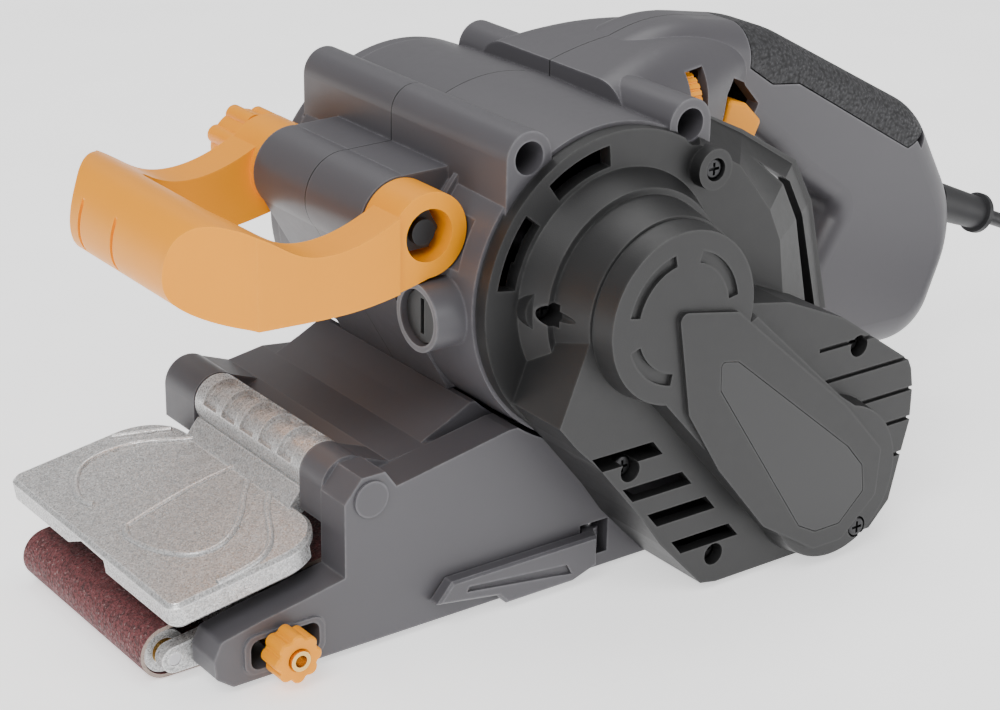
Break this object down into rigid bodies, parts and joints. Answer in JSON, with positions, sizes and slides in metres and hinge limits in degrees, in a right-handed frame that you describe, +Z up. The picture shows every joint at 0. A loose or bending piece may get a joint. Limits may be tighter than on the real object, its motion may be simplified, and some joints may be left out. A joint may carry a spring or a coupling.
{
  "type": "handheld belt sander",
  "caption": "Handheld belt sander with a sloping sanding belt, cross motor barrel, tilting front handle, lifting front guard, rear D handle with trigger, belt tension lever and cord.",
  "frame": {"origin": "middle of the flat sanding run, on its outer face", "axes": "+X back to the rear handle along the belt's travel line, +Z up out of the work, -Y the drive belt cover's side"},
  "size_m": [0.4707, 0.1786, 0.1579],
  "materials": {
    "housing_plastic": "moulded gray plastic, satin, worn edges",
    "black_plastic": "black glass-filled plastic, matte",
    "orange_plastic": "orange moulded plastic, satin",
    "cast_guard": "cast aluminium with sparkling paint",
    "abrasive": "maroon abrasive grain on cloth",
    "steel": "machined steel",
    "brass": "turned brass",
    "rubber": "textured black rubber",
    "copper": "copper winding",
    "cork": "pressed cork",
    "carbon": "carbon block",
    "white_nylon": "nylon",
    "inlay": "blank gloss inlay",
    "cast_base": "gray cast base"
  },
  "bodies": {
    "root": {"housing_left": "housing_plastic", "housing_right": "housing_plastic", "right_end_cover": "housing_plastic", "base_frame": "cast_base", "drive_side_case": "black_plastic", "drive_belt_cover": "black_plastic", "brush_caps": "black_plastic", "switch_module": "black_plastic", "speed_module": "black_plastic", "dust_outlet": "black_plastic", "plug_body": "black_plastic", "cover_label_inlay": "inlay", "platen_plate": "steel", "stator_core": "steel", "motor_bearings": "steel", "roller_bearings": "steel", "guard_hinge_pin": "steel", "tension_spring": "steel", "tension_lever_pin": "steel", "drive_cover_screws": "steel", "case_screws": "steel", "housing_screws": "steel", "brush_springs": "steel", "platen_cork": "cork", "sanding_belt": "abrasive", "field_coils": "copper", "brush_holders": "brass", "plug_pins": "brass", "carbon_brushes": "carbon", "rubber_grip": "rubber", "timing_belt": "rubber", "cord": "rubber", "cord_coil": "rubber", "cord_strain_relief": "rubber"},
    "front_handle_body": {"front_handle": "orange_plastic", "handle_bolt": "steel", "handle_nut": "steel"},
    "clamp_knob_body": {"handle_clamp_knob": "orange_plastic"},
    "guard_body": {"front_guard": "cast_guard"},
    "carriage_body": {"roller_carriage": "cast_guard", "front_roller_axle": "steel"},
    "front_roller_body": {"front_roller": "cast_guard", "front_roller_bearings": "brass"},
    "tracking_body": {"tracking_knob": "orange_plastic", "tracking_insert": "brass"},
    "lever_body": {"tension_lever": "black_plastic"},
    "drive_roller_body": {"drive_roller": "cast_guard", "roller_rubber_sleeve": "rubber", "drive_shaft": "steel", "driven_pulley": "steel"},
    "armature_body": {"armature_shaft": "steel", "armature_core": "steel", "commutator": "copper", "cooling_fan": "white_nylon", "drive_pulley": "steel"},
    "trigger_body": {"trigger": "orange_plastic"},
    "lock_body": {"lock_button": "orange_plastic"},
    "dial_body": {"speed_dial": "orange_plastic"}
  },
  "joints": [
    {"name": "handle_tilt", "type": "hinge", "parent": "root", "child": "front_handle_body", "pos_m": [-0.0193, 0, 0.1205], "axis": [0, 1, 0], "range_deg": [0, 60]},
    {"name": "clamp_knob_turn", "type": "hinge", "parent": "front_handle_body", "child": "clamp_knob_body", "pos_m": [-0.0193, 0.054, 0.1205], "axis": [0, 1, 0], "range_deg": [-180, 180]},
    {"name": "guard_lift", "type": "hinge", "parent": "root", "child": "guard_body", "pos_m": [-0.047, 0, 0.0487], "axis": [0, 1, 0], "range_deg": [0, 55]},
    {"name": "carriage_slide", "type": "slide", "parent": "root", "child": "carriage_body", "axis": [1, 0, 0], "range_m": [0, 0.006], "deforming": ["tension_spring"]},
    {"name": "lever_swing", "type": "hinge", "parent": "root", "child": "lever_body", "pos_m": [0.036, -0.0534, 0.01], "axis": [0, 0, 1], "range_deg": [0, 60]},
    {"name": "tracking_turn", "type": "hinge", "parent": "carriage_body", "child": "tracking_body", "pos_m": [-0.078, -0.06, 0.0103], "axis": [0, 1, 0], "range_deg": [-180, 180]},
    {"name": "front_roller_spin", "type": "hinge", "parent": "carriage_body", "child": "front_roller_body", "pos_m": [-0.10515, 0, 0.0082], "axis": [0, 1, 0], "continuous": true},
    {"name": "motor_spin", "type": "hinge", "parent": "root", "child": "armature_body", "pos_m": [0.037, 0, 0.0983], "axis": [0, 1, 0], "continuous": true},
    {"name": "drive_roller_spin", "type": "hinge", "parent": "root", "child": "drive_roller_body", "pos_m": [0.10515, 0, 0.0215], "axis": [0, 1, 0], "continuous": true},
    {"name": "trigger_squeeze", "type": "slide", "parent": "root", "child": "trigger_body", "axis": [0.5182, 0, 0.8553], "range_m": [0, 0.004], "stiffness_N_per_m": 400, "springref_m": -0.001},
    {"name": "lock_press", "type": "slide", "parent": "root", "child": "lock_body", "axis": [0, -1, 0], "range_m": [0, 0.0014], "stiffness_N_per_m": 300, "springref_m": -0.001},
    {"name": "dial_turn", "type": "hinge", "parent": "root", "child": "dial_body", "pos_m": [0.0915, -0.0235, 0.138], "axis": [1, 0, 0], "range_deg": [-140, 140]}
  ],
  "couplings": [
    {"joint": "lever_swing", "follows": "carriage_slide", "rad_per_m": 174.53},
    {"joint": "drive_roller_spin", "follows": "motor_spin", "ratio": 0.29412},
    {"joint": "front_roller_spin", "follows": "motor_spin", "ratio": 0.80882}
  ]
}
